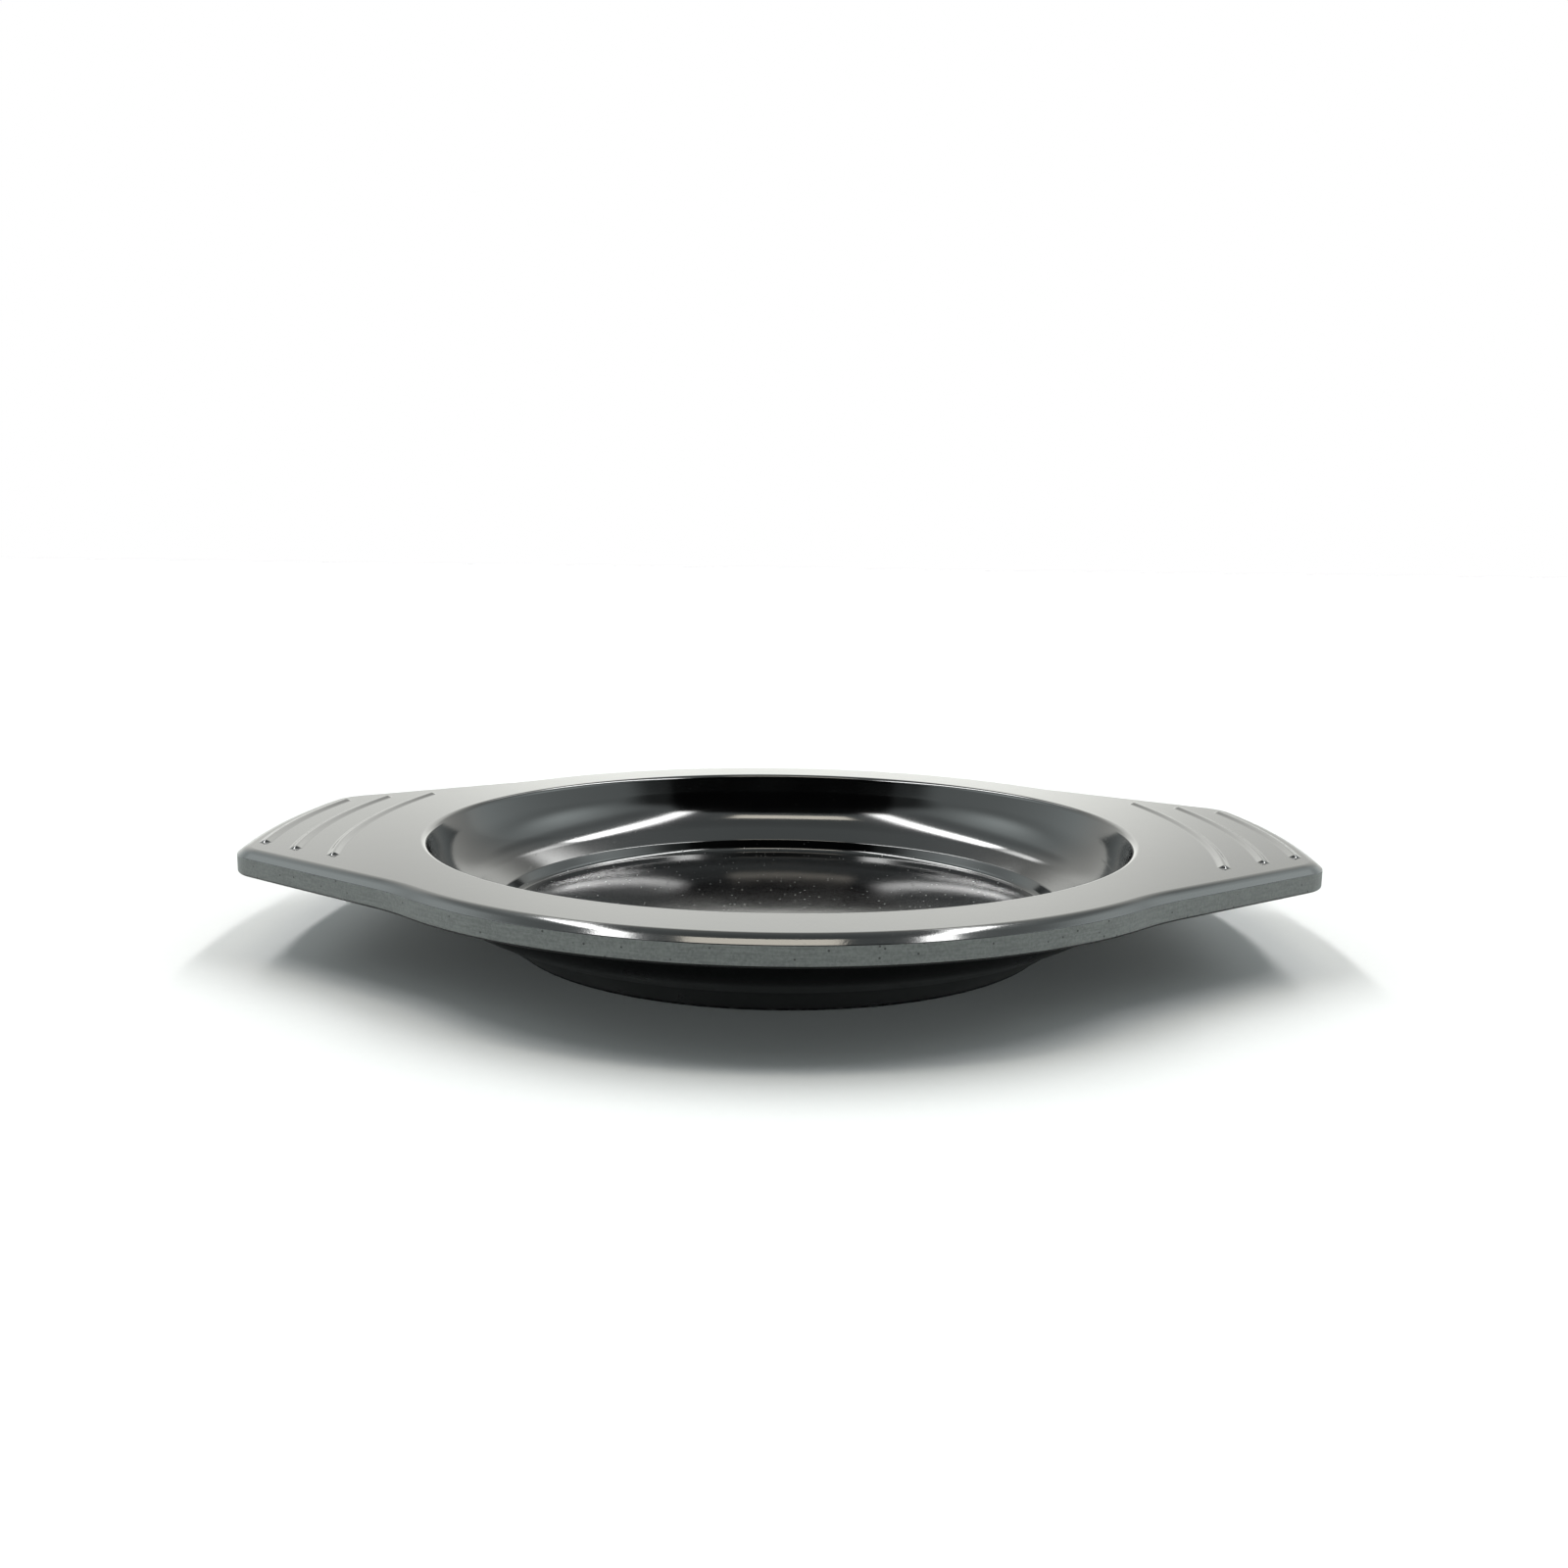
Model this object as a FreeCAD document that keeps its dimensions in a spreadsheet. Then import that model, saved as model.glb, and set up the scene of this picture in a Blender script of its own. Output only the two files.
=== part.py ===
"""One-piece moulded serving dish: stepped round well, broad flat rim, two ribbed handles.

Millimetres. +Z is up, +X runs along the handles, and the origin is on the table,
under the centre of the well.
"""
import FreeCAD, Part
import math
import os

import Sketcher

SIZES = {
    # the rim and its handles, seen from above
    "dish_height": 28.8,
    "rim_radius": 114.6,
    "half_length": 139.4,
    "tip_radius": 240.0,
    "side_angle": 35.75,
    "side_offset": 111.9,
    "blend_radius": 80.0,
    "corner_radius": 14.0,
    # the thickness of the moulding
    "edge_height": 6.6,
    "rim_thickness": 3.6,
    "lip_width": 4.0,
    "lip_blend": 1.2,
    # the top rounds over into a slope that stops at the ground band round the edge
    "slope_width": 2.15,
    "slope_drop": 1.8,
    "top_round": 4.0,
    "band_round": 0.35,
    "bottom_round": 0.8,
    # the inside of the well
    "mouth_radius": 95.2,
    "mouth_round": 1.8,
    "ledge_outer_radius": 91.0,
    "ledge_outer_height": 15.8,
    "ledge_bend": 19.0,
    "ledge_inner_radius": 77.9,
    "ledge_inner_height": 9.5,
    "ledge_lip_round": 0.8,
    "floor_radius": 76.2,
    "floor_edge_height": 6.3,
    "floor_round": 2.2,
    "floor_height": 4.4,
    "well_overcut": 2.0,
    # the outside of the bowl and its foot
    "wall_top_radius": 98.9,
    "shoulder_radius": 92.8,
    "shoulder_height": 12.4,
    "shoulder_bend": 11.0,
    "crease_radius": 83.1,
    "crease_height": 7.4,
    "crease_round": 3.0,
    "foot_radius": 73.0,
    "foot_rise": 0.6,
    "foot_lean": 0.3,
    "foot_inner_radius": 69.6,
    "floor_thickness": 2.6,
    "foot_round": 0.5,
    "underside_blend": 2.0,
    "foot_blend": 1.1,
    # three ribs on each handle, counted from the well outwards
    "rib_width": 2.8,
    "rib_height": 0.6,
    "rib_round": 0.55,
    "rib_root": 0.8,
    "inner_rib_reach": 114.2,
    "inner_rib_radius": 200.0,
    "inner_rib_half_span": 45.1,
    "middle_rib_reach": 124.4,
    "middle_rib_radius": 205.0,
    "middle_rib_half_span": 38.2,
    "outer_rib_reach": 133.4,
    "outer_rib_radius": 210.0,
    "outer_rib_half_span": 31.3,
}
RIBS = ("inner_rib", "middle_rib", "outer_rib")
SHEET = "dims"
ORIGIN = (-1, 1)
X_AXIS = -1
Y_AXIS = -2
START = 1
END = 2
CENTRE = 3


def cell(alias):
    return f"<<{SHEET}>>.{alias}"


def make_sheet(doc):
    """The driving dimensions, one per row, each with its alias."""
    sheet = doc.addObject("Spreadsheet::Sheet", SHEET)
    for row, (alias, value) in enumerate(SIZES.items(), start=1):
        sheet.set(f"A{row}", alias)
        sheet.set(f"B{row}", str(value))
        sheet.setAlias(f"B{row}", alias)
    doc.recompute()
    return sheet


def origin_feature(body, role):
    return next(item for item in body.Origin.OriginFeatures if item.Role == role)


def make_sketch(body, name, plane, offset=None):
    """A sketch on one of the body's own origin planes, lifted by an expression if given."""
    sketch = body.newObject("Sketcher::SketchObject", name)
    sketch.AttachmentSupport = (origin_feature(body, plane), [""])
    sketch.MapMode = "FlatFace"
    if offset:
        sketch.setExpression("AttachmentOffset.Base.z", offset)
    return sketch


def bind(sketch, constraint, expression):
    """Adds a dimension to the sketch and binds it to an expression."""
    index = sketch.addConstraint(constraint)
    sketch.setExpression(f"Constraints[{index}]", expression)


def dish_arc(low, radius, high):
    """An arc about a point on the axis, from the axis up to a radius and a height."""
    rise = high - low
    bend = (radius ** 2 + rise ** 2) / (2 * rise)
    circle = Part.Circle(FreeCAD.Vector(0, low + bend, 0), FreeCAD.Vector(0, 0, 1), bend)
    return Part.ArcOfCircle(circle, -math.pi / 2, math.asin(radius / bend) - math.pi / 2)


def polygon_sketch(body, name, corners, first_arc=None):
    """A closed half section on the XZ plane, from (radius, height) expressions.

    None puts a corner on the axis itself or on the table. The first stretch can be an arc
    about a point on the axis.
    """
    sketch = make_sketch(body, name, "XZ_Plane")
    count = len(corners)
    size = SIZES["rim_radius"]
    turns = [math.tau * i / count for i in range(count)]
    spots = [FreeCAD.Vector(size * (2 + math.cos(turn)), size * (2 + math.sin(turn)), 0) for turn in turns]
    for i in range(count):
        straight = i > 0 or first_arc is None
        sketch.addGeometry(Part.LineSegment(spots[i], spots[(i + 1) % count]) if straight else first_arc)
    if first_arc is not None:
        sketch.addConstraint(Sketcher.Constraint("PointOnObject", 0, CENTRE, Y_AXIS))
    for i, (radius, height) in enumerate(corners):
        sketch.addConstraint(Sketcher.Constraint("Coincident", i - 1 if i else count - 1, END, i, START))
        if radius is None:
            sketch.addConstraint(Sketcher.Constraint("PointOnObject", i, START, Y_AXIS))
        else:
            bind(sketch, Sketcher.Constraint("DistanceX", *ORIGIN, i, START, 1.0), radius)
        if height is None:
            sketch.addConstraint(Sketcher.Constraint("PointOnObject", i, START, X_AXIS))
        else:
            bind(sketch, Sketcher.Constraint("DistanceY", *ORIGIN, i, START, 1.0), height)
    return sketch


def outline_points(grow):
    """The joints and arc centres in the +X, +Y quarter of the plan, for an outline grown outwards."""
    rim = SIZES["rim_radius"] + grow
    offset = SIZES["side_offset"] + grow
    blend = SIZES["blend_radius"] - grow
    corner = SIZES["corner_radius"] + grow
    tip_radius = SIZES["tip_radius"] + grow
    angle = math.radians(SIZES["side_angle"])
    normal = FreeCAD.Vector(math.sin(angle), math.cos(angle), 0)
    along = FreeCAD.Vector(math.cos(angle), -math.sin(angle), 0)
    blend_along = math.sqrt((rim + blend) ** 2 - (offset + blend) ** 2)
    blend_centre = normal * (offset + blend) + along * blend_along
    tip_centre = FreeCAD.Vector(SIZES["half_length"] - SIZES["tip_radius"], 0, 0)
    corner_foot = normal * (offset - corner)
    lead = corner_foot - tip_centre
    reach = tip_radius - corner
    corner_along = -lead.dot(along) + math.sqrt(lead.dot(along) ** 2 - lead.dot(lead) + reach ** 2)
    corner_centre = corner_foot + along * corner_along
    outwards = (corner_centre - tip_centre).normalize()
    return {
        "rim_end": blend_centre * (rim / (rim + blend)),
        "side_start": blend_centre - normal * blend,
        "side_end": corner_centre + normal * corner,
        "tip_end": tip_centre + outwards * tip_radius,
        "blend_centre": blend_centre,
        "corner_centre": corner_centre,
        "tip_centre": tip_centre,
        "rim_centre": FreeCAD.Vector(),
    }


def outline_route(grow):
    """The sixteen stretches of the plan in order: kind, centre, start and end."""
    points = outline_points(grow)

    def at(name, quarter):
        side, depth = quarter
        return FreeCAD.Vector(points[name].x * side, points[name].y * depth, 0)

    back_right, back_left, front_left, front_right = (1, 1), (-1, 1), (-1, -1), (1, -1)
    route = []
    halves = ((back_right, back_left, front_left), (front_left, front_right, back_right))
    for first, second, across in halves:
        route += [
            ("corner", at("corner_centre", first), at("tip_end", first), at("side_end", first)),
            ("side", None, at("side_end", first), at("side_start", first)),
            ("blend", at("blend_centre", first), at("side_start", first), at("rim_end", first)),
            ("rim", at("rim_centre", first), at("rim_end", first), at("rim_end", second)),
            ("blend", at("blend_centre", second), at("rim_end", second), at("side_start", second)),
            ("side", None, at("side_start", second), at("side_end", second)),
            ("corner", at("corner_centre", second), at("side_end", second), at("tip_end", second)),
            ("tip", at("tip_centre", second), at("tip_end", second), at("tip_end", across)),
        ]
    return route


def arc_between(centre, start, end):
    """The shorter arc about a centre between two points, always drawn counterclockwise."""
    first = math.atan2(start.y - centre.y, start.x - centre.x)
    last = math.atan2(end.y - centre.y, end.x - centre.x)
    if (last - first) % math.tau > math.pi:
        first, last = last, first
    circle = Part.Circle(centre, FreeCAD.Vector(0, 0, 1), (start - centre).Length)
    return Part.ArcOfCircle(circle, first, last)


def end_near(sketch, index, point):
    """Which end of a stretch lies at a point."""
    to_start = sketch.getPoint(index, START).distanceToPoint(point)
    to_end = sketch.getPoint(index, END).distanceToPoint(point)
    return START if to_start < to_end else END


def outline_sketch(body, name, grow_cell, sign, height):
    """The plan outline of rim and handles as one tangent loop, grown or shrunk by one cell."""
    sketch = make_sketch(body, name, "XY_Plane", height)
    grown = sign * SIZES[grow_cell] if grow_cell else 0.0
    grow = f"({sign} * {cell(grow_cell)})" if grow_cell else "0"
    route = outline_route(grown)
    for kind, centre, start, end in route:
        if kind != "side":
            sketch.addGeometry(arc_between(centre, start, end))
        elif start.x < end.x:
            sketch.addGeometry(Part.LineSegment(start, end))
        else:
            sketch.addGeometry(Part.LineSegment(end, start))
    for index in range(len(route)):
        after = (index + 1) % len(route)
        joint = route[index][3]
        ends = (index, end_near(sketch, index, joint), after, end_near(sketch, after, joint))
        sketch.addConstraint(Sketcher.Constraint("Tangent", *ends))
    radii = {
        "corner": f"{cell('corner_radius')} + {grow}",
        "blend": f"{cell('blend_radius')} - {grow}",
        "rim": f"{cell('rim_radius')} + {grow}",
        "tip": f"{cell('tip_radius')} + {grow}",
    }
    side_offset = f"{cell('side_offset')} + {grow}"
    tip_centre = f"{cell('tip_radius')} - {cell('half_length')}"
    for index, (kind, centre, start, end) in enumerate(route):
        if kind == "side":
            falling = (end.y - start.y) * (end.x - start.x) < 0
            lean = -1 if falling else 1
            turn = lean * math.radians(SIZES["side_angle"])
            bind(sketch, Sketcher.Constraint("Angle", index, turn), f"{lean} * {cell('side_angle')} * 1deg")
            bind(sketch, Sketcher.Constraint("Distance", *ORIGIN, index, SIZES["side_offset"]), side_offset)
            continue
        bind(sketch, Sketcher.Constraint("Radius", index, (start - centre).Length), radii[kind])
        if kind == "rim":
            sketch.addConstraint(Sketcher.Constraint("Coincident", index, CENTRE, *ORIGIN))
        if kind == "tip":
            sketch.addConstraint(Sketcher.Constraint("PointOnObject", index, CENTRE, X_AXIS))
            order = (index, CENTRE, *ORIGIN) if centre.x < 0 else (*ORIGIN, index, CENTRE)
            bind(sketch, Sketcher.Constraint("DistanceX", *order, abs(centre.x)), tip_centre)
    return sketch


def edge_names(feature, wanted):
    return [f"Edge{i}" for i, edge in enumerate(feature.Shape.Edges, start=1) if wanted(edge)]


def add_round(body, name, base, radius, wanted):
    """A fillet on the edges of the body so far that pass the test."""
    names = edge_names(base, wanted)
    if not names:
        raise RuntimeError(f"{name}: no edge to round")
    fillet = body.newObject("PartDesign::Fillet", name)
    fillet.Base = (base, names)
    fillet.setExpression("Radius", radius)
    body.Document.recompute()
    return fillet


def add_slope(body, name, base, width, drop, wanted):
    """A chamfer on the outer edges of a level face, wider across it than down the side."""
    names = edge_names(base, wanted)
    chamfer = body.newObject("PartDesign::Chamfer", name)
    chamfer.Base = (base, names)
    chamfer.ChamferType = "Two distances"
    chamfer.setExpression("Size", drop)
    chamfer.setExpression("Size2", width)
    body.Document.recompute()
    return chamfer


def ring_at(radius, height):
    """The whole circle about Z with this radius and height."""
    def wanted(edge):
        box = edge.BoundBox
        return abs(box.XMax - radius) < 0.2 and abs(box.YMax - radius) < 0.2 and box.ZLength < 0.01 \
            and abs(box.ZMin - height) < 0.2
    return wanted


def level_outline(height, least_radius):
    """Level edges at one height, all of them outside a radius."""
    def wanted(edge):
        box = edge.BoundBox
        if box.ZLength > 0.01 or abs(box.ZMin - height) > 0.01:
            return False
        ends = [edge.valueAt(edge.FirstParameter), edge.valueAt(edge.LastParameter)]
        return all(math.hypot(end.x, end.y) > least_radius for end in ends)
    return wanted


def extrude(body, name, sketch, kind, length):
    """A pad upwards from the sketch, or a pocket cut upwards from it."""
    feature = body.newObject(f"PartDesign::{kind}", name)
    feature.Profile = sketch
    feature.setExpression("Length", length)
    feature.Reversed = kind == "Pocket"
    sketch.Visibility = False
    body.Document.recompute()
    return feature


def outline_slab(body, name, kind, grow_cell, sign, low, thickness):
    """Pads or pockets the dish's whole outline, grown or shrunk by a cell, over one slab of height."""
    plan = outline_sketch(body, f"{name}_plan", grow_cell, sign, low)
    return extrude(body, name, plan, kind, thickness)


def add_bowl(body):
    """The bowl as a solid of revolution, then the well cut out of it."""
    foot_top = f"{cell('floor_height')} - {cell('floor_thickness')}"
    outer = [
        (None, foot_top),
        (cell("foot_inner_radius"), foot_top),
        (cell("foot_inner_radius"), None),
        (cell("foot_radius"), None),
        (f"{cell('foot_radius')} + {cell('foot_lean')}", cell("foot_rise")),
        (cell("crease_radius"), cell("crease_height")),
        (cell("shoulder_radius"), cell("shoulder_height")),
        (cell("wall_top_radius"), f"{cell('dish_height')} - {cell('rim_thickness')} / 2"),
        (None, f"{cell('dish_height')} - {cell('rim_thickness')} / 2"),
    ]
    bowl = body.newObject("PartDesign::Revolution", "bowl")
    bowl.Profile = polygon_sketch(body, "bowl_section", outer)
    bowl.ReferenceAxis = (bowl.Profile[0], ["V_Axis"])
    bowl.Angle = 360
    body.Document.recompute()
    over = cell("well_overcut")
    slope = f"({cell('mouth_radius')} - {cell('ledge_outer_radius')})"
    drop = f"({cell('dish_height')} - {cell('ledge_outer_height')})"
    inner = [
        (None, cell("floor_height")),
        (cell("floor_radius"), cell("floor_edge_height")),
        (cell("ledge_inner_radius"), cell("ledge_inner_height")),
        (cell("ledge_outer_radius"), cell("ledge_outer_height")),
        (f"{cell('mouth_radius')} + {over} * {slope} / {drop}", f"{cell('dish_height')} + {over}"),
        (None, f"{cell('dish_height')} + {over}"),
    ]
    before = bowl.Shape.Volume
    well = body.newObject("PartDesign::Groove", "well")
    dish = dish_arc(SIZES["floor_height"], SIZES["floor_radius"], SIZES["floor_edge_height"])
    well.Profile = polygon_sketch(body, "well_section", inner, dish)
    well.ReferenceAxis = (well.Profile[0], ["V_Axis"])
    well.Angle = 360
    body.Document.recompute()
    if well.Shape.Volume >= before:
        raise RuntimeError("the well cut nothing")
    return well


def round_bowl(body, feature):
    """The bends and rounded edges of the bowl, inside and outside."""
    underside = SIZES["dish_height"] - SIZES["rim_thickness"]
    foot_top = SIZES["floor_height"] - SIZES["floor_thickness"]
    lean = (SIZES["wall_top_radius"] - SIZES["shoulder_radius"]) \
        / (underside + SIZES["rim_thickness"] / 2 - SIZES["shoulder_height"])
    wall_at_underside = SIZES["wall_top_radius"] - lean * SIZES["rim_thickness"] / 2
    rounds = [
        ("ledge_bend", SIZES["ledge_outer_radius"], SIZES["ledge_outer_height"]),
        ("floor_round", SIZES["floor_radius"], SIZES["floor_edge_height"]),
        ("ledge_lip_round", SIZES["ledge_inner_radius"], SIZES["ledge_inner_height"]),
        ("mouth_round", SIZES["mouth_radius"], SIZES["dish_height"]),
        ("shoulder_bend", SIZES["shoulder_radius"], SIZES["shoulder_height"]),
        ("crease_round", SIZES["crease_radius"], SIZES["crease_height"]),
        ("underside_blend", wall_at_underside, underside),
        ("foot_round", SIZES["foot_radius"], 0.0),
        ("foot_round", SIZES["foot_inner_radius"], 0.0),
        ("foot_blend", SIZES["foot_inner_radius"], foot_top),
    ]
    for number, (alias, radius, height) in enumerate(rounds, start=1):
        feature = add_round(body, f"bowl_round_{number}", feature, cell(alias), ring_at(radius, height))
    return feature


def add_slot(sketch, rib, side):
    """The outline of one curved, round-ended rib; side is 1 on the +X handle and -1 on the other."""
    radius = SIZES[f"{rib}_radius"]
    half_width = SIZES["rib_width"] / 2
    centre = FreeCAD.Vector(side * (SIZES[f"{rib}_reach"] - radius), 0, 0)
    turn = math.asin(SIZES[f"{rib}_half_span"] / radius)
    up = FreeCAD.Vector(side * math.cos(turn), math.sin(turn), 0)
    down = FreeCAD.Vector(up.x, -up.y, 0)
    outer = sketch.GeometryCount
    inner = outer + 1
    for reach in (radius + half_width, radius - half_width):
        sketch.addGeometry(arc_between(centre, centre + down * reach, centre + up * reach))
    for number, (way, turned) in enumerate(((up, side < 0), (down, side > 0))):
        cap = outer + 2 + number
        spot = centre + way * radius
        first = math.atan2(way.y, way.x) + (math.pi if turned else 0)
        circle = Part.Circle(spot, FreeCAD.Vector(0, 0, 1), half_width)
        sketch.addGeometry(Part.ArcOfCircle(circle, first, first + math.pi))
        for long_arc, distance in ((outer, half_width), (inner, -half_width)):
            joint = spot + way * distance
            ends = (long_arc, end_near(sketch, long_arc, joint), cap, end_near(sketch, cap, joint))
            sketch.addConstraint(Sketcher.Constraint("Tangent", *ends))
        order = (*ORIGIN, cap, CENTRE) if spot.y > 0 else (cap, CENTRE, *ORIGIN)
        bind(sketch, Sketcher.Constraint("DistanceY", *order, abs(spot.y)), cell(f"{rib}_half_span"))
    middle = cell(f"{rib}_radius")
    half_cell = f"{cell('rib_width')} / 2"
    for long_arc, sign in ((outer, "+"), (inner, "-")):
        reach = sketch.Geometry[long_arc].Radius
        bind(sketch, Sketcher.Constraint("Radius", long_arc, reach), f"{middle} {sign} {half_cell}")
    sketch.addConstraint(Sketcher.Constraint("Coincident", inner, CENTRE, outer, CENTRE))
    sketch.addConstraint(Sketcher.Constraint("PointOnObject", outer, CENTRE, X_AXIS))
    order = (outer, CENTRE, *ORIGIN) if centre.x < 0 else (*ORIGIN, outer, CENTRE)
    inset = f"{middle} - {cell(f'{rib}_reach')}"
    bind(sketch, Sketcher.Constraint("DistanceX", *order, abs(centre.x)), inset)


def add_ribs(body):
    """Three low curved ribs on each handle, with rounded tops, rooted a little inside the rim."""
    plan = make_sketch(body, "ribs_plan", "XY_Plane", f"{cell('dish_height')} - {cell('rib_root')}")
    for rib in RIBS:
        for side in (1, -1):
            add_slot(plan, rib, side)
    ribs = extrude(body, "ribs", plan, "Pad", f"{cell('rib_root')} + {cell('rib_height')}")
    crown = SIZES["dish_height"] + SIZES["rib_height"]
    return add_round(body, "rib_rounds", ribs, cell("rib_round"), level_outline(crown, SIZES["mouth_radius"]))


def build_dish(doc):
    """The whole dish is one moulding, so it is one body."""
    body = doc.addObject("PartDesign::Body", "serving_dish")
    body.Label = "serving_dish"
    edge_low = f"{cell('dish_height')} - {cell('edge_height')}"
    recess = f"{cell('edge_height')} - {cell('rim_thickness')}"
    plate = outline_slab(body, "rim", "Pad", None, 0, edge_low, cell("edge_height"))
    top = SIZES["dish_height"]
    low = top - SIZES["edge_height"]
    at_top = level_outline(top, SIZES["mouth_radius"])
    at_bottom = level_outline(low, SIZES["mouth_radius"])
    plate = add_slope(body, "rim_slope", plate, cell("slope_width"), cell("slope_drop"), at_top)
    plate = add_round(body, "rim_top_round", plate, cell("top_round"), at_top)
    at_band = level_outline(top - SIZES["slope_drop"], SIZES["mouth_radius"])
    plate = add_round(body, "band_top_round", plate, cell("band_round"), at_band)
    plate = add_round(body, "rim_bottom_round", plate, cell("bottom_round"), at_bottom)
    before = plate.Shape.Volume
    hollow = outline_slab(body, "underside", "Pocket", "lip_width", -1, edge_low, recess)
    if hollow.Shape.Volume >= before:
        raise RuntimeError("the underside recess cut nothing")
    underside = top - SIZES["rim_thickness"]
    hollow = add_round(body, "underside_round", hollow, cell("lip_blend"),
                       level_outline(underside, SIZES["mouth_radius"]))
    feature = add_bowl(body)
    round_bowl(body, feature)
    body.Tip = add_ribs(body)
    doc.recompute()
    return body


def check(doc, bodies):
    """Stops before anything is written if any object failed or any solid is bad."""
    for item in doc.Objects:
        if "Invalid" in item.State or "Error" in item.State:
            raise RuntimeError(f"{item.Name} failed: {item.State}")
    for body in bodies:
        shape = body.Shape
        if shape.isNull() or not shape.isValid() or len(shape.Solids) != 1:
            raise RuntimeError(f"{body.Label} isn't one valid solid")


def main():
    os.makedirs("parts", exist_ok=True)
    doc = FreeCAD.newDocument("serving_dish_model")
    make_sheet(doc)
    bodies = [build_dish(doc)]
    doc.recompute()
    check(doc, bodies)
    for body in bodies:
        body.Shape.exportStep(f"parts/{body.Label}.step")
        box = body.Shape.BoundBox
        print(f"{body.Label}: {box.XLength:.2f} x {box.YLength:.2f} x {box.ZLength:.2f} mm,"
              f" {body.Shape.Volume / 1000:.1f} cm3")


main()
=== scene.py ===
"""The looks of a one-piece moulded serving dish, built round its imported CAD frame.

Metres. +Z is up, +X runs along the handles, and the dish stands on z = 0.
"""
import math

import bpy
from mathutils import Matrix, Vector
from mathutils.geometry import delaunay_2d_cdt


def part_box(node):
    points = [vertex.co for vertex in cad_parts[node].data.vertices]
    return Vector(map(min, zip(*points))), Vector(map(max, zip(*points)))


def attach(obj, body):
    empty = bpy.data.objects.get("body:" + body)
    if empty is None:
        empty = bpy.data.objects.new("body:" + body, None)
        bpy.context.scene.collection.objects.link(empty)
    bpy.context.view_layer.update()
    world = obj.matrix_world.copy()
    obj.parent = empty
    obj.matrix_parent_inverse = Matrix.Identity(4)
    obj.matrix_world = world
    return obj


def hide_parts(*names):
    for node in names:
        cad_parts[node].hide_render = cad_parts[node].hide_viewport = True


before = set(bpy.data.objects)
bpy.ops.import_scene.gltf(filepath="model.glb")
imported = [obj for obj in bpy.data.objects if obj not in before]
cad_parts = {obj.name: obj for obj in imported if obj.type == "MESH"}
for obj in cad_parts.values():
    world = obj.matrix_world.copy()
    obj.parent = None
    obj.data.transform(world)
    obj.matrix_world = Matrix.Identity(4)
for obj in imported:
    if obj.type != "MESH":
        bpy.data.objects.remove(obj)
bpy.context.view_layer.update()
dish_low, dish_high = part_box("serving_dish")
MM = 0.001

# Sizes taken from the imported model
RIB_HEIGHT = 0.6 * MM
HALF_LENGTH = dish_high[0]
RIM_RADIUS = dish_high[1]
TOP = dish_high[2] - RIB_HEIGHT
BASE = dish_low[2]

# The outline of rim and handles, seen from above
TIP_RADIUS = 240.0 * MM
SIDE_ANGLE = math.radians(35.75)
SIDE_OFFSET = 111.9 * MM
BLEND_RADIUS = 80.0 * MM
CORNER_RADIUS = 14.0 * MM

# How finely curves are divided
RING_STEPS = 480
ROUND_STEP = math.radians(7.5)
ARC_STEP = 4 * MM
TIP_STEPS = 14
CORNER_STEPS = 20
SIDE_STEPS = 10
BLEND_STEPS = 18
RIM_STEPS = 60
RIB_STEPS = 64
RIB_END_STEPS = 14

# Finishes, as material numbers
GLOSS = 0
GROUND_BAND_PAINTED_REFLECTION = 1
UNDER = 2
# Twice the upward part of the normal at which the gloss stops and the edge band, grey by painted
# reflection, begins
BAND_TILT = 0.5

# The pale floor
FLOOR_HALF = 60.0
FLOOR_TONE = 0.5
FLOOR_MOTTLE = 0.015

# The view: turns in radians, and the place measured from the middle of the dish's top
CAMERA_PAN = -0.0090
CAMERA_TILT = 0.1575
CAMERA_ROLL = 0.0130
CAMERA_PLACE = Vector((4.3, -373.82, 71.34)) * MM
CAMERA_LENS = 31.5
CAMERA_SENSOR = 36

# The light tent's brightness, as radiance
WALL_LIGHT = 1.36
BEHIND_LIGHT = 0.5
LOW_SIDE_LIGHT = 0.45
SIDE_POOL_LIGHT = 2.4
RIGHT_CORNER_SHADE = 0.18
BESIDE_STRIPS_SHADE = 0.35
CEILING_LIGHT = 0.7
STRIP_LIGHT = 26
FAR_STRIP_LIGHT = 5
PANEL_LIGHT = 8.5

def section(corners):
    """A section given in millimetres, as corners of (distance, height, rounding radius).

    It runs with the air on its left. Returns (distance, height, normal across, normal up) along
    it, in metres.
    """
    spots = [Vector((distance * MM, BASE + height * MM)) for distance, height, _ in corners]
    out = []
    for i, spot in enumerate(spots):
        before = (spot - spots[i - 1]).normalized() if i else (spots[1] - spots[0]).normalized()
        after = (spots[i + 1] - spot).normalized() if i + 1 < len(spots) else before
        radius = corners[i][2] * MM
        if not radius:
            out.append((spot.x, spot.y, -before.y, before.x))
            continue
        turn = math.atan2(before.x * after.y - before.y * after.x, before.dot(after))
        side = math.copysign(radius, turn)
        start = spot - before * radius * math.tan(abs(turn) / 2)
        centre = start + Vector((-before.y, before.x)) * side
        count = max(2, math.ceil(abs(turn) / ROUND_STEP), math.ceil(abs(turn * radius) / ARC_STEP))
        heading = math.atan2(before.y, before.x)
        for step in range(count + 1):
            way = heading + turn * step / count
            normal = Vector((-math.sin(way), math.cos(way)))
            place = centre - normal * side
            out.append((place.x, place.y, normal.x, normal.y))
    return out


# From the middle of the floor out to the rim's top face
INSIDE = section(
    [
        (6, 4.4, 0),
        (38.1, 4.4, 1250.0),
        (76.2, 6.3, 2.2),
        (77.9, 9.5, 0.8),
        (91.0, 15.8, 19.0),
        (95.2, 28.8, 1.8),
        (98, 28.8, 0),
    ]
)
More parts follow.
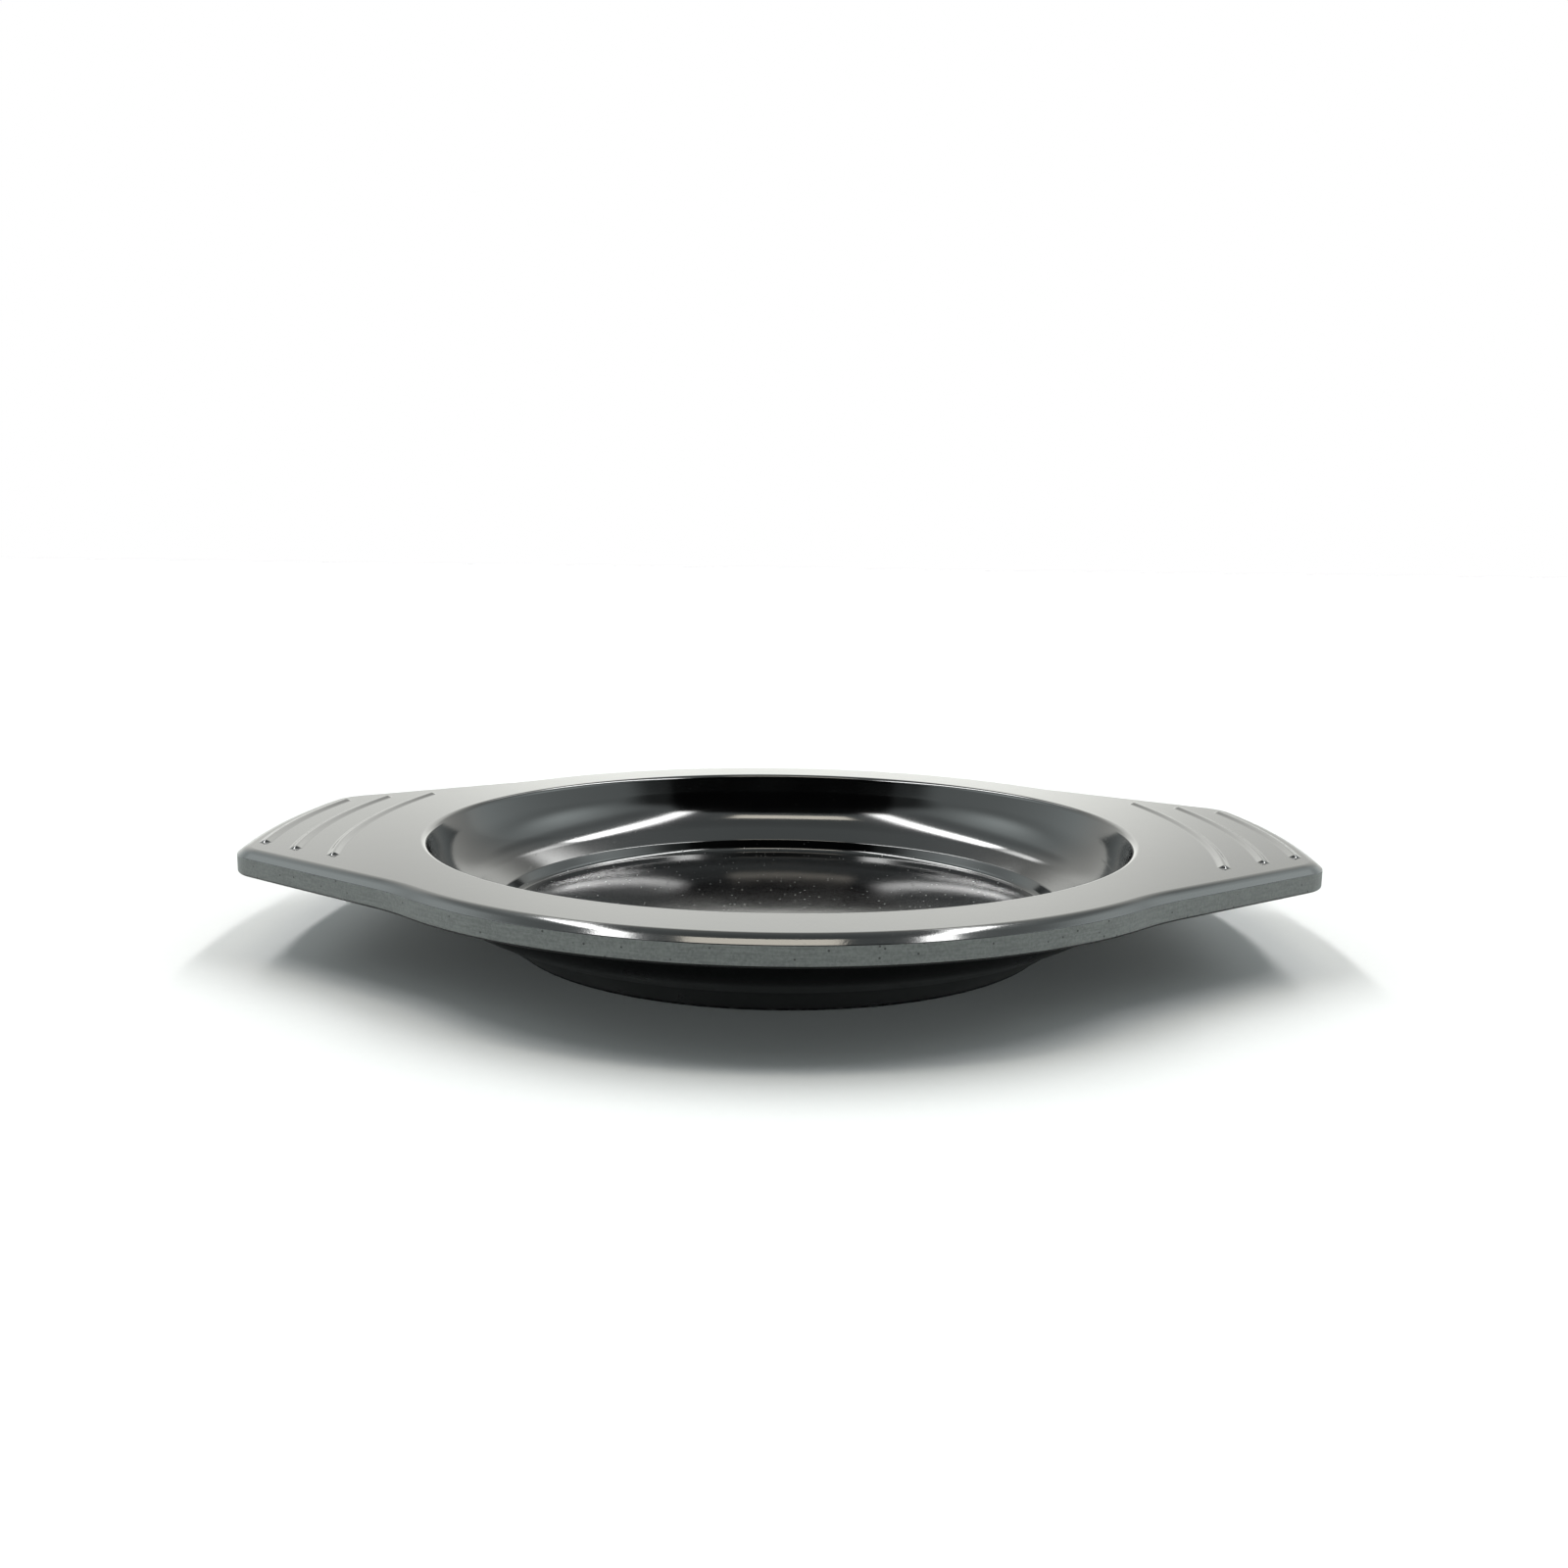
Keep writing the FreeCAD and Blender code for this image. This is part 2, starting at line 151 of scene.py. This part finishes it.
# From the rim's top face over the edge to its underside, measured outwards from the outline
EDGE = section(
    [
        (-3.64, 28.8, 0),
        (-2.15, 28.8, 4.0),
        (0.0, 27.0, 0.35),
        (0.0, 22.2, 0.8),
        (-4.0, 22.2, 0.5),
        (-4.0, 25.2, 1.2),
        (-7.0, 25.2, 0),
    ]
)
# From the rim's underside down the outside of the bowl to the middle of the base
OUTSIDE = section(
    [
        (102, 25.2, 0),
        (98.15, 25.2, 2.0),
        (92.8, 12.4, 11.0),
        (83.1, 7.4, 3.0),
        (73.4, 0.65, 0.6),
        (73.0, 0.0, 0.3),
        (69.6, 0.0, 0.5),
        (69.6, 1.8, 1.1),
        (6, 1.8, 0),
    ]
)
# Across a rib, measured from its middle line
RIB_SECTION = section(
    [
        (-1.86, 28.8, 0),
        (-1.47, 28.8, 1.5),
        (0.0, 29.565, 1.3),
        (1.47, 28.8, 1.5),
        (1.86, 28.8, 0),
    ]
)
# Reach from the axis, radius of the curve and half its span, for the three ribs on a handle
RIBS = [
    (114.2 * MM, 200 * MM, 45.1 * MM),
    (124.4 * MM, 205 * MM, 38.2 * MM),
    (133.4 * MM, 210 * MM, 31.3 * MM),
]
# How near two points of a level face may be before they count as one
SAME_POINT = 1e-8


class Skin:
    """Points with their exact normals, and the faces between them."""

    def __init__(self):
        self.points = []
        self.normals = []
        self.faces = []
        self.finishes = []

    def point(self, place, normal):
        self.points.append(Vector(place))
        self.normals.append(Vector(normal))
        return len(self.points) - 1

    def face(self, corners, finish):
        """A face, turned to look the way its normals do."""
        corners = [corner for i, corner in enumerate(corners) if corner != corners[i - 1]]
        if len(corners) < 3:
            return
        a, b, c = (self.points[corner] for corner in (corners[0], corners[1], corners[-1]))
        outwards = sum((self.normals[corner] for corner in corners), Vector((0, 0, 0)))
        if (b - a).cross(c - a).dot(outwards) < 0:
            corners = corners[::-1]
        self.faces.append(corners)
        self.finishes.append(finish)

    def strip(self, first, second, finish, closed=True):
        """A row of quads between two rows of points."""
        for i in range(len(first) if closed else len(first) - 1):
            j = (i + 1) % len(first)
            self.face([first[i], first[j], second[j], second[i]], finish)

    def plane(self, outer, holes, finish):
        """A level face inside one loop of points, with holes in it."""
        numbers = list(outer)
        edges = [(i, (i + 1) % len(outer)) for i in range(len(outer))]
        for hole in holes:
            start = len(numbers)
            edges += [(start + i, start + (i + 1) % len(hole)) for i in range(len(hole))]
            numbers += hole
        flat = [self.points[number].to_2d() for number in numbers]
        _, _, triangles, sources, _, _ = delaunay_2d_cdt(flat, edges, [], 0, SAME_POINT, True)
        shapes = [[self.points[number].to_2d() for number in loop] for loop in [outer, *holes]]
        for triangle in triangles:
            corners = [numbers[sources[corner][0]] for corner in triangle]
            middle = sum((self.points[corner].to_2d() for corner in corners), Vector((0, 0))) / 3
            if inside(middle, shapes[0]) and not any(inside(middle, hole) for hole in shapes[1:]):
                self.face(corners, finish)


def inside(spot, loop):
    """Whether a spot is inside a closed loop, by counting crossings."""
    within = False
    for i, b in enumerate(loop):
        a = loop[i - 1]
        if (a.y > spot.y) != (b.y > spot.y) and spot.x < (b.x - a.x) * (spot.y - a.y) / (b.y - a.y) + a.x:
            within = not within
    return within


def ring_rows(skin, profile):
    """Rows of points round the axis, one for each place along a section."""
    turns = [math.tau * step / RING_STEPS for step in range(RING_STEPS)]
    ways = [(math.cos(turn), math.sin(turn)) for turn in turns]
    return [
        [skin.point((radius * c, radius * s, height), (across * c, across * s, up)) for c, s in ways]
        for radius, height, across, up in profile
    ]


def outline():
    """The outline of rim and handles, anticlockwise, as places and outward normals."""
    normal = Vector((math.sin(SIDE_ANGLE), math.cos(SIDE_ANGLE)))
    along = Vector((math.cos(SIDE_ANGLE), -math.sin(SIDE_ANGLE)))
    beside = SIDE_OFFSET + BLEND_RADIUS
    blend_centre = normal * beside + along * math.sqrt((RIM_RADIUS + BLEND_RADIUS) ** 2 - beside**2)
    tip_centre = Vector((HALF_LENGTH - TIP_RADIUS, 0))
    corner_foot = normal * (SIDE_OFFSET - CORNER_RADIUS)
    lead = corner_foot - tip_centre
    reach = TIP_RADIUS - CORNER_RADIUS
    onwards = math.sqrt(lead.dot(along) ** 2 - lead.length_squared + reach**2) - lead.dot(along)
    corner_centre = corner_foot + along * onwards
    towards_corner = corner_centre - tip_centre
    tip_turn = math.atan2(towards_corner.y, towards_corner.x)
    side_turn = math.pi / 2 - SIDE_ANGLE
    rim_turn = math.atan2(blend_centre.y, blend_centre.x)
    quarter = []

    def arc(centre, radius, first, last, steps):
        for step in range(steps):
            turn = first + (last - first) * step / steps
            way = Vector((math.cos(turn), math.sin(turn)))
            quarter.append((centre + way * radius, way))

    arc(tip_centre, TIP_RADIUS, 0, tip_turn, TIP_STEPS)
    arc(corner_centre, CORNER_RADIUS, tip_turn, side_turn, CORNER_STEPS)
    side_start = corner_centre + normal * CORNER_RADIUS
    side_end = blend_centre - normal * BLEND_RADIUS
    for step in range(SIDE_STEPS):
        quarter.append((side_start.lerp(side_end, step / SIDE_STEPS), normal))
    arc(blend_centre, -BLEND_RADIUS, side_turn, rim_turn, BLEND_STEPS)
    arc(Vector((0, 0)), RIM_RADIUS, rim_turn, math.pi / 2, RIM_STEPS)
    quarter.append((Vector((0, RIM_RADIUS)), Vector((0, 1))))

    def flip(stations, x, y):
        return [(Vector((p.x * x, p.y * y)), Vector((n.x * x, n.y * y))) for p, n in stations]

    half = quarter + flip(quarter[:-1][::-1], -1, 1)
    return half + flip(half[1:-1][::-1], 1, -1)


def edge_rows(skin, profile):
    """Rows of points round the outline, one for each place along the edge's section."""
    stations = outline()
    rows = []
    for outwards, height, across, up in profile:
        row = []
        for place, way in stations:
            spot = place + way * outwards
            row.append(skin.point((spot.x, spot.y, height), (way.x * across, way.y * across, up)))
        rows.append(row)
    return rows


def rib(skin, side, reach, radius, half_span):
    """One rib of a handle. Returns the loop of points round its foot."""
    centre = Vector((side * (reach - radius), 0))
    limit = math.asin(half_span / radius)
    rows = []
    for step in range(RIB_STEPS + 1):
        turn = limit * (2 * step / RIB_STEPS - 1)
        way = Vector((side * math.cos(turn), math.sin(turn)))
        row = []
        for offset, height, across, up in RIB_SECTION:
            spot = centre + way * (radius + offset)
            row.append(skin.point((spot.x, spot.y, height), (way.x * across, way.y * across, up)))
        rows.append(row)
    for first, second in zip(rows, rows[1:]):
        skin.strip(first, second, GLOSS, closed=False)
    middle = len(RIB_SECTION) // 2
    feet = []
    for row, turn, onwards in ((rows[-1], limit, 1), (rows[0], -limit, -1)):
        way = Vector((side * math.cos(turn), math.sin(turn)))
        ahead = Vector((-side * math.sin(turn), math.cos(turn))) * onwards
        end = centre + way * radius
        spokes = [row[middle:]]
        for step in range(1, RIB_END_STEPS):
            swing = math.pi * step / RIB_END_STEPS
            towards = way * math.cos(swing) + ahead * math.sin(swing)
            spoke = [row[middle]]
            for offset, height, across, up in RIB_SECTION[middle + 1 :]:
                spot = end + towards * offset
                normal = (towards.x * across, towards.y * across, up)
                spoke.append(skin.point((spot.x, spot.y, height), normal))
            spokes.append(spoke)
        spokes.append(row[middle::-1])
        for first, second in zip(spokes, spokes[1:]):
            skin.strip(first, second, GLOSS, closed=False)
        feet.append([spoke[-1] for spoke in spokes[1:-1]])
    outer = [row[-1] for row in rows]
    inner = [row[0] for row in rows]
    return outer + feet[0] + inner[::-1] + feet[1][::-1]


def edge_finish(first, second, skin):
    """Gloss over the top, the band round the edge with its grey painted reflection, dull underneath with
    painted shade.
    """
    upwards = skin.normals[first[0]].z + skin.normals[second[0]].z
    if upwards > BAND_TILT:
        return GLOSS
    goes_down = skin.points[first[0]].z > skin.points[second[0]].z
    return GROUND_BAND_PAINTED_REFLECTION if goes_down and upwards > -BAND_TILT else UNDER


def build_dish():
    """The whole dish as one closed skin, with exact normals and a finish on every face."""
    skin = Skin()
    inside_rows = ring_rows(skin, INSIDE)
    for first, second in zip(inside_rows, inside_rows[1:]):
        skin.strip(first, second, GLOSS)
    skin.plane(inside_rows[0], [], GLOSS)
    edge = edge_rows(skin, EDGE)
    for first, second in zip(edge, edge[1:]):
        skin.strip(first, second, edge_finish(first, second, skin))
    outside_rows = ring_rows(skin, OUTSIDE)
    for first, second in zip(outside_rows, outside_rows[1:]):
        skin.strip(first, second, UNDER)
    skin.plane(outside_rows[-1], [], UNDER)
    feet = [rib(skin, side, *sizes) for side in (1, -1) for sizes in RIBS]
    skin.plane(edge[0], [inside_rows[-1], *feet], GLOSS)
    skin.plane(edge[-1], [outside_rows[0]], UNDER)
    mesh = bpy.data.meshes.new("dish_skin")
    mesh.from_pydata(skin.points, [], skin.faces)
    mesh.polygons.foreach_set("material_index", skin.finishes)
    mesh.polygons.foreach_set("use_smooth", [True] * len(skin.faces))
    mesh.normals_split_custom_set_from_vertices(skin.normals)
    mesh.update()
    dish = bpy.data.objects.new("dish_skin", mesh)
    bpy.context.scene.collection.objects.link(dish)
    return dish


class Nodes:
    """Short calls that add nodes to a tree and link them."""

    def __init__(self, tree):
        self.tree = tree

    def add(self, kind, **inputs):
        node = self.tree.nodes.new(kind)
        for name, value in inputs.items():
            self.put(node.inputs[name.replace("_", " ")], value)
        return node

    def put(self, socket, value):
        """Links an output to a socket, or sets the socket to a plain value."""
        if isinstance(value, bpy.types.NodeSocket):
            self.tree.links.new(value, socket)
        else:
            socket.default_value = value

    def math(self, operation, *values):
        node = self.add("ShaderNodeMath")
        node.operation = operation
        for socket, value in zip(node.inputs, values):
            self.put(socket, value)
        return node.outputs[0]

    def ease(self, value, low, high):
        """0 up to low and 1 from high, with a smooth rise between."""
        node = self.add("ShaderNodeMapRange", Value=value, From_Min=low, From_Max=high)
        node.interpolation_type = "SMOOTHSTEP"
        return node.outputs[0]

    def between(self, value, low, high, soft):
        """1 between two limits, with a smooth fall to 0 round each."""
        up = self.ease(value, low - soft, low + soft)
        down = self.ease(self.math("MULTIPLY", value, -1), -high - soft, -high + soft)
        return self.math("MULTIPLY", up, down)

    def span(self, value, low, high, least, most):
        """A linear change of scale that stops at both ends."""
        return self.add(
            "ShaderNodeMapRange", Value=value, From_Min=low, From_Max=high, To_Min=least, To_Max=most
        ).outputs[0]

    def mix(self, factor, first, second):
        node = self.add("ShaderNodeMix")
        node.data_type = "RGBA"
        for socket, value in zip((node.inputs[0], node.inputs[6], node.inputs[7]), (factor, first, second)):
            self.put(socket, value)
        return node.outputs[2]

    def noise(self, where, scale, detail=2.0, roughness=0.5):
        node = self.add("ShaderNodeTexNoise", Vector=where, Scale=scale, Detail=detail, Roughness=roughness)
        return node.outputs["Fac"]

    def bump(self, shader, height):
        """Raises the surface by a height in metres."""
        node = self.add("ShaderNodeBump", Height=height)
        node.inputs["Distance"].default_value = 1.0
        self.put(shader.inputs["Normal"], node.outputs[0])

    def stretched(self, where, turn, scale):
        """Coordinates turned about the vertical and stretched."""
        return self.add("ShaderNodeMapping", Vector=where, Rotation=(0, 0, turn), Scale=scale).outputs[0]

    def specks(self, where, scale, size, share):
        """Small round specks: scale cells to the metre, each of them speckled by chance."""
        cells = self.add("ShaderNodeTexVoronoi", Vector=where, Scale=scale)
        chance = self.add("ShaderNodeSeparateColor", Color=cells.outputs["Color"]).outputs[0]
        spot = self.math("SUBTRACT", 1, self.ease(cells.outputs["Distance"], size * 0.5, size))
        return self.math("MULTIPLY", spot, self.math("LESS_THAN", chance, share))


def new_material(name):
    """A new material, with its nodes and its shader."""
    material = bpy.data.materials.new(name)
    material.use_nodes = True
    nodes = Nodes(material.node_tree)
    return material, nodes, material.node_tree.nodes["Principled BSDF"]


def gloss():
    """Pressed black melamine straight off a polished die, with dust and faint wear on it."""
    material, nodes, shader = new_material("melamine_gloss")
    where = nodes.add("ShaderNodeTexCoord").outputs["Object"]
    cloud = nodes.noise(where, 38, 3)
    dust = nodes.specks(where, 700, 0.22, 0.16)
    lint = nodes.specks(nodes.stretched(where, 0.6, (1, 0.22, 1)), 260, 0.10, 0.05)
    height_above = nodes.add("ShaderNodeSeparateXYZ", Vector=where).outputs["Z"]
    settled = nodes.span(height_above, 0.006, 0.010, 1, 0.12)
    specks = nodes.math("MULTIPLY", nodes.math("MAXIMUM", dust, nodes.math("MULTIPLY", lint, 0.7)), settled)
    body = nodes.mix(nodes.ease(cloud, 0.3, 0.7), (0.0007, 0.0007, 0.0008, 1), (0.0014, 0.0014, 0.0015, 1))
    nodes.put(shader.inputs["Base Color"], nodes.mix(specks, body, (0.05, 0.05, 0.048, 1)))
    hairs = None
    for turn, scale in ((0.35, 900), (-0.9, 760), (1.7, 830)):
        lines = nodes.noise(nodes.stretched(where, turn, (1, 0.012, 1)), scale, 1)
        line = nodes.ease(lines, 0.74, 0.80)
        hairs = line if hairs is None else nodes.math("MAXIMUM", hairs, line)
    worn = nodes.math("MULTIPLY", hairs, nodes.ease(nodes.noise(where, 21, 2), 0.45, 0.7))
    polish = nodes.span(cloud, 0.3, 0.7, 0.075, 0.115)
    rough = nodes.math("ADD", polish, nodes.math("MULTIPLY", worn, 0.10))
    nodes.put(shader.inputs["Roughness"], nodes.math("ADD", rough, nodes.math("MULTIPLY", specks, 0.3)))
    swell = nodes.math("MULTIPLY", nodes.noise(where, 95, 2), 1e-5)
    peel = nodes.math("MULTIPLY", nodes.noise(where, 2200, 2), 5e-6)
    height = nodes.math("ADD", nodes.math("ADD", swell, peel), nodes.math("MULTIPLY", specks, 1.5e-5))
    nodes.bump(shader, nodes.math("SUBTRACT", height, nodes.math("MULTIPLY", worn, 2e-7)))
    shader.inputs["IOR"].default_value = 1.55
    return material


def ground_band_painted_reflection():
    """The band round the edge where the flash was taken off by grinding: matt and speckled, its grey body
    colour a painted reflection of the pale floor in front.
    """
    material, nodes, shader = new_material("melamine_ground_band_painted_reflection")
    where = nodes.add("ShaderNodeTexCoord").outputs["Object"]
    grain = nodes.noise(where, 1500, 4, 0.65)
    belt = nodes.noise(nodes.stretched(where, 0, (1, 1, 14)), 160, 3, 0.6)
    tone = nodes.math("ADD", nodes.math("MULTIPLY", grain, 0.6), nodes.math("MULTIPLY", belt, 0.4))
    # Painted reflection: the grey of the body stands in for the pale floor mirrored in the band; only the
    # grain, belt marks and pits are the band's own.
    body = nodes.mix(nodes.ease(tone, 0.35, 0.65), (0.062, 0.067, 0.064, 1), (0.108, 0.117, 0.111, 1))
    pits = nodes.specks(where, 900, 0.3, 0.08)
    nodes.put(shader.inputs["Base Color"], nodes.mix(pits, body, (0.012, 0.012, 0.012, 1)))
    nodes.put(shader.inputs["Roughness"], nodes.span(tone, 0.3, 0.7, 0.48, 0.62))
    nodes.bump(shader, nodes.math("MULTIPLY", nodes.math("SUBTRACT", tone, pits), 1.2e-5))
    shader.inputs["IOR"].default_value = 1.5
    return material


def under():
    """The side nobody looks at: a duller die, with scuffs on the parts that touch the table; its reflection
    is turned down as painted shade.
    """
    material, nodes, shader = new_material("melamine_under")
    where = nodes.add("ShaderNodeTexCoord").outputs["Object"]
    height_above = nodes.add("ShaderNodeSeparateXYZ", Vector=where).outputs["Z"]
    cloud = nodes.noise(where, 55, 3)
    rub = nodes.ease(nodes.noise(where, 700, 3, 0.7), 0.45, 0.62)
    foot = nodes.math("SUBTRACT", 1, nodes.ease(height_above, 0.0003, 0.0009))
    scuff = nodes.math("MULTIPLY", foot, rub)
    body = nodes.mix(nodes.ease(cloud, 0.3, 0.7), (0.0012, 0.0012, 0.0013, 1), (0.0024, 0.0024, 0.0025, 1))
    nodes.put(shader.inputs["Base Color"], nodes.mix(scuff, body, (0.03, 0.03, 0.03, 1)))
    satin = nodes.span(cloud, 0.3, 0.7, 0.26, 0.34)
    nodes.put(shader.inputs["Roughness"], nodes.math("ADD", satin, nodes.math("MULTIPLY", scuff, 0.25)))
    grain = nodes.math("MULTIPLY", nodes.noise(where, 1900, 3, 0.6), 8e-7)
    swell = nodes.math("MULTIPLY", nodes.noise(where, 80, 2), 2.5e-6)
    nodes.bump(shader, nodes.math("ADD", grain, swell))
    shader.inputs["IOR"].default_value = 1.5
    # Painted shade: the reflection is turned down so the underside stays as dark as if it mirrored the
    # shadowed floor under the rim.
    shader.inputs["Specular IOR Level"].default_value = 0.15
    return material


def plain_floor():
    """A wide sheet of pale paper under the dish."""
    mesh = bpy.data.meshes.new("floor")
    half = FLOOR_HALF
    corners = [(-half, -half, 0), (half, -half, 0), (half, half, 0), (-half, half, 0)]
    mesh.from_pydata(corners, [], [(0, 1, 2, 3)])
    floor = bpy.data.objects.new("floor", mesh)
    material, nodes, shader = new_material("floor_paper")
    where = nodes.add("ShaderNodeTexCoord").outputs["Object"]
    fibre = nodes.noise(where, 400, 3)
    darker, lighter = FLOOR_TONE * (1 - FLOOR_MOTTLE), FLOOR_TONE * (1 + FLOOR_MOTTLE)
    paper = nodes.mix(fibre, (darker, darker, darker, 1), (lighter, lighter, lighter, 1))
    nodes.put(shader.inputs["Base Color"], paper)
    shader.inputs["Roughness"].default_value = 0.9
    shader.inputs["Specular IOR Level"].default_value = 0.0
    mesh.materials.append(material)
    bpy.context.scene.collection.objects.link(floor)


def add_camera():
    """Just above the near side of the dish, looking slightly down over it."""
    pan, tilt, roll = CAMERA_PAN, CAMERA_TILT, CAMERA_ROLL
    forward = Vector((math.sin(pan) * math.cos(tilt), math.cos(pan) * math.cos(tilt), -math.sin(tilt)))
    right = Vector((math.cos(pan), -math.sin(pan), 0))
    up = right.cross(forward)
    across = right * math.cos(roll) + up * math.sin(roll)
    upright = up * math.cos(roll) - right * math.sin(roll)
    data = bpy.data.cameras.new("camera")
    data.sensor_width = CAMERA_SENSOR
    data.lens = CAMERA_LENS
    data.clip_start = 0.01
    camera = bpy.data.objects.new("camera", data)
    turned = Matrix((across, upright, -forward)).transposed().to_4x4()
    camera.matrix_world = Matrix.Translation(CAMERA_PLACE + Vector((0, 0, TOP))) @ turned
    bpy.context.scene.collection.objects.link(camera)
    bpy.context.scene.camera = camera


def light_tent():
    """A white tent as the world: two long strips overhead, a warm panel between, the front left open.

    Places overhead are given on a ceiling one unit up: across is along X and deep along Y.
    """
    world = bpy.data.worlds.new("light_tent")
    world.use_nodes = True
    nodes = Nodes(world.node_tree)
    way = nodes.add("ShaderNodeSeparateXYZ", Vector=nodes.add("ShaderNodeTexCoord").outputs["Generated"])
    x, y, z = way.outputs
    up = nodes.math("MAXIMUM", z, 0.02)
    across = nodes.math("DIVIDE", x, up)
    deep = nodes.math("DIVIDE", y, up)
    aside = nodes.math("ABSOLUTE", across)

    def gather(*masks):
        """Where all of the masks are."""
        out = masks[0]
        for mask in masks[1:]:
            out = nodes.math("MULTIPLY", out, mask)
        return out

    def fade(value, mask, share):
        """Takes a share of the value away where the mask is."""
        return nodes.math("MULTIPLY", value, nodes.math("SUBTRACT", 1, nodes.math("MULTIPLY", mask, share)))

    def fall(middle_across, middle_deep, wide, long):
        """A soft pool of light on each side of the ceiling."""
        a = nodes.math("DIVIDE", nodes.math("SUBTRACT", aside, middle_across), wide)
        b = nodes.math("DIVIDE", nodes.math("SUBTRACT", deep, middle_deep), long)
        both = nodes.math("ADD", nodes.math("MULTIPLY", a, a), nodes.math("MULTIPLY", b, b))
        return nodes.math("EXPONENT", nodes.math("MULTIPLY", both, -1))

    # walls: brighter straight behind the dish and in a soft pool on each side
    off_axis = nodes.math("DIVIDE", x, nodes.math("MAXIMUM", y, 0.001))
    behind = nodes.math("SUBTRACT", 1, nodes.ease(nodes.math("ABSOLUTE", off_axis), 0.12, 0.32))
    level = nodes.math("ADD", WALL_LIGHT, nodes.math("MULTIPLY", behind, BEHIND_LIGHT))
    right_corner = gather(nodes.between(off_axis, 0.30, 0.9, 0.08), nodes.ease(y, 0.1, 0.3))
    level = fade(level, right_corner, RIGHT_CORNER_SHADE)
    low = nodes.math("SUBTRACT", 1, nodes.ease(z, 0.2, 0.5))
    low_side = gather(nodes.ease(nodes.math("ABSOLUTE", x), 0.5, 0.85), low)
    level = nodes.math("ADD", level, nodes.math("MULTIPLY", low_side, LOW_SIDE_LIGHT))
    side_pool = nodes.math("MULTIPLY", fall(1.35, 0.25, 0.5, 0.55), SIDE_POOL_LIGHT)
    level = nodes.math("ADD", level, side_pool)
    beside_strips = gather(nodes.between(aside, 0.56, 0.85, 0.12), nodes.between(deep, -0.3, 1.6, 0.3))
    level = fade(level, beside_strips, BESIDE_STRIPS_SHADE)
    # the ceiling between the strips is dull
    inwards = nodes.math("SUBTRACT", 1, nodes.ease(aside, 0.30, 0.62))
    dull = gather(inwards, nodes.between(deep, -0.25, 1.9, 0.55))
    bright_part = nodes.math("MULTIPLY", level, nodes.math("SUBTRACT", 1, dull))
    level = nodes.math("ADD", bright_part, nodes.math("MULTIPLY", dull, CEILING_LIGHT))
    # the opening the camera looks through widens towards the front, with a dim border
    forwards = nodes.math("MULTIPLY", deep, -1)
    above_table = nodes.ease(z, 0.36, 0.41)
    dark_opening = (0.8, 0.28, 0.05, 0.24, 0.985)
    dim_border = (1.15, 0.6, 0.35, 0.5, 0.84)
    for slope, start, soft, front, share in (dark_opening, dim_border):
        edge = nodes.math("MULTIPLY_ADD", forwards, slope, start)
        reached = nodes.ease(nodes.math("SUBTRACT", edge, aside), -soft, soft)
        margin = 0.02 + soft / 2
        begun = nodes.ease(forwards, front - margin, front + margin)
        level = fade(level, gather(reached, begun, above_table), share)
    walls = nodes.add("ShaderNodeVectorMath")
    walls.operation = "SCALE"
    cool, warm = (0.91, 1.0, 1.0, 1), (1.0, 1.01, 0.965, 1)
    nodes.put(walls.inputs[0], nodes.mix(nodes.ease(y, 0.55, 0.9), cool, warm))
    nodes.put(walls.inputs["Scale"], level)
    total = walls.outputs[0]

    def add_panel(mask, colour, strength):
        """Adds a light where the mask is."""
        nonlocal total
        scaled = nodes.add("ShaderNodeVectorMath")
        scaled.operation = "SCALE"
        scaled.inputs[0].default_value = [channel * strength for channel in colour]
        nodes.put(scaled.inputs["Scale"], mask)
        both = nodes.add("ShaderNodeVectorMath")
        both.operation = "ADD"
        nodes.put(both.inputs[0], total)
        nodes.put(both.inputs[1], scaled.outputs[0])
        total = both.outputs[0]

    overhead = nodes.ease(z, 0.03, 0.06)
    for start, lean, half_width in ((-0.448, 0.042, 0.055), (0.431, -0.0986, 0.05)):
        offset = nodes.math("SUBTRACT", across, nodes.math("MULTIPLY_ADD", deep, lean, start))
        strip = gather(overhead, nodes.between(offset, -half_width, half_width, 0.03))
        add_panel(gather(strip, nodes.between(deep, -0.27, 0.88, 0.06)), (1.0, 1.0, 0.99), STRIP_LIGHT)
        add_panel(gather(strip, nodes.between(deep, 0.95, 1.4, 0.12)), (1.0, 1.0, 0.99), FAR_STRIP_LIGHT)
    panel_across = nodes.between(across, -0.25, 0.165, 0.012)
    panel_deep = nodes.between(deep, -0.15, -0.01, 0.012)
    add_panel(gather(overhead, panel_across, panel_deep), (1.0, 0.93, 0.80), PANEL_LIGHT)
    background = world.node_tree.nodes["Background"]
    seen = nodes.add("ShaderNodeLightPath").outputs["Is Camera Ray"]
    nodes.put(background.inputs["Color"], nodes.mix(seen, total, (1.0, 1.0, 1.0, 1)))
    background.inputs["Strength"].default_value = 1.0
    bpy.context.scene.world = world


dish = build_dish()
for material in (gloss(), ground_band_painted_reflection(), under()):
    dish.data.materials.append(material)
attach(dish, "root")
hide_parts("serving_dish")

plain_floor()
add_camera()
light_tent()
bpy.context.scene.view_settings.view_transform = "Standard"
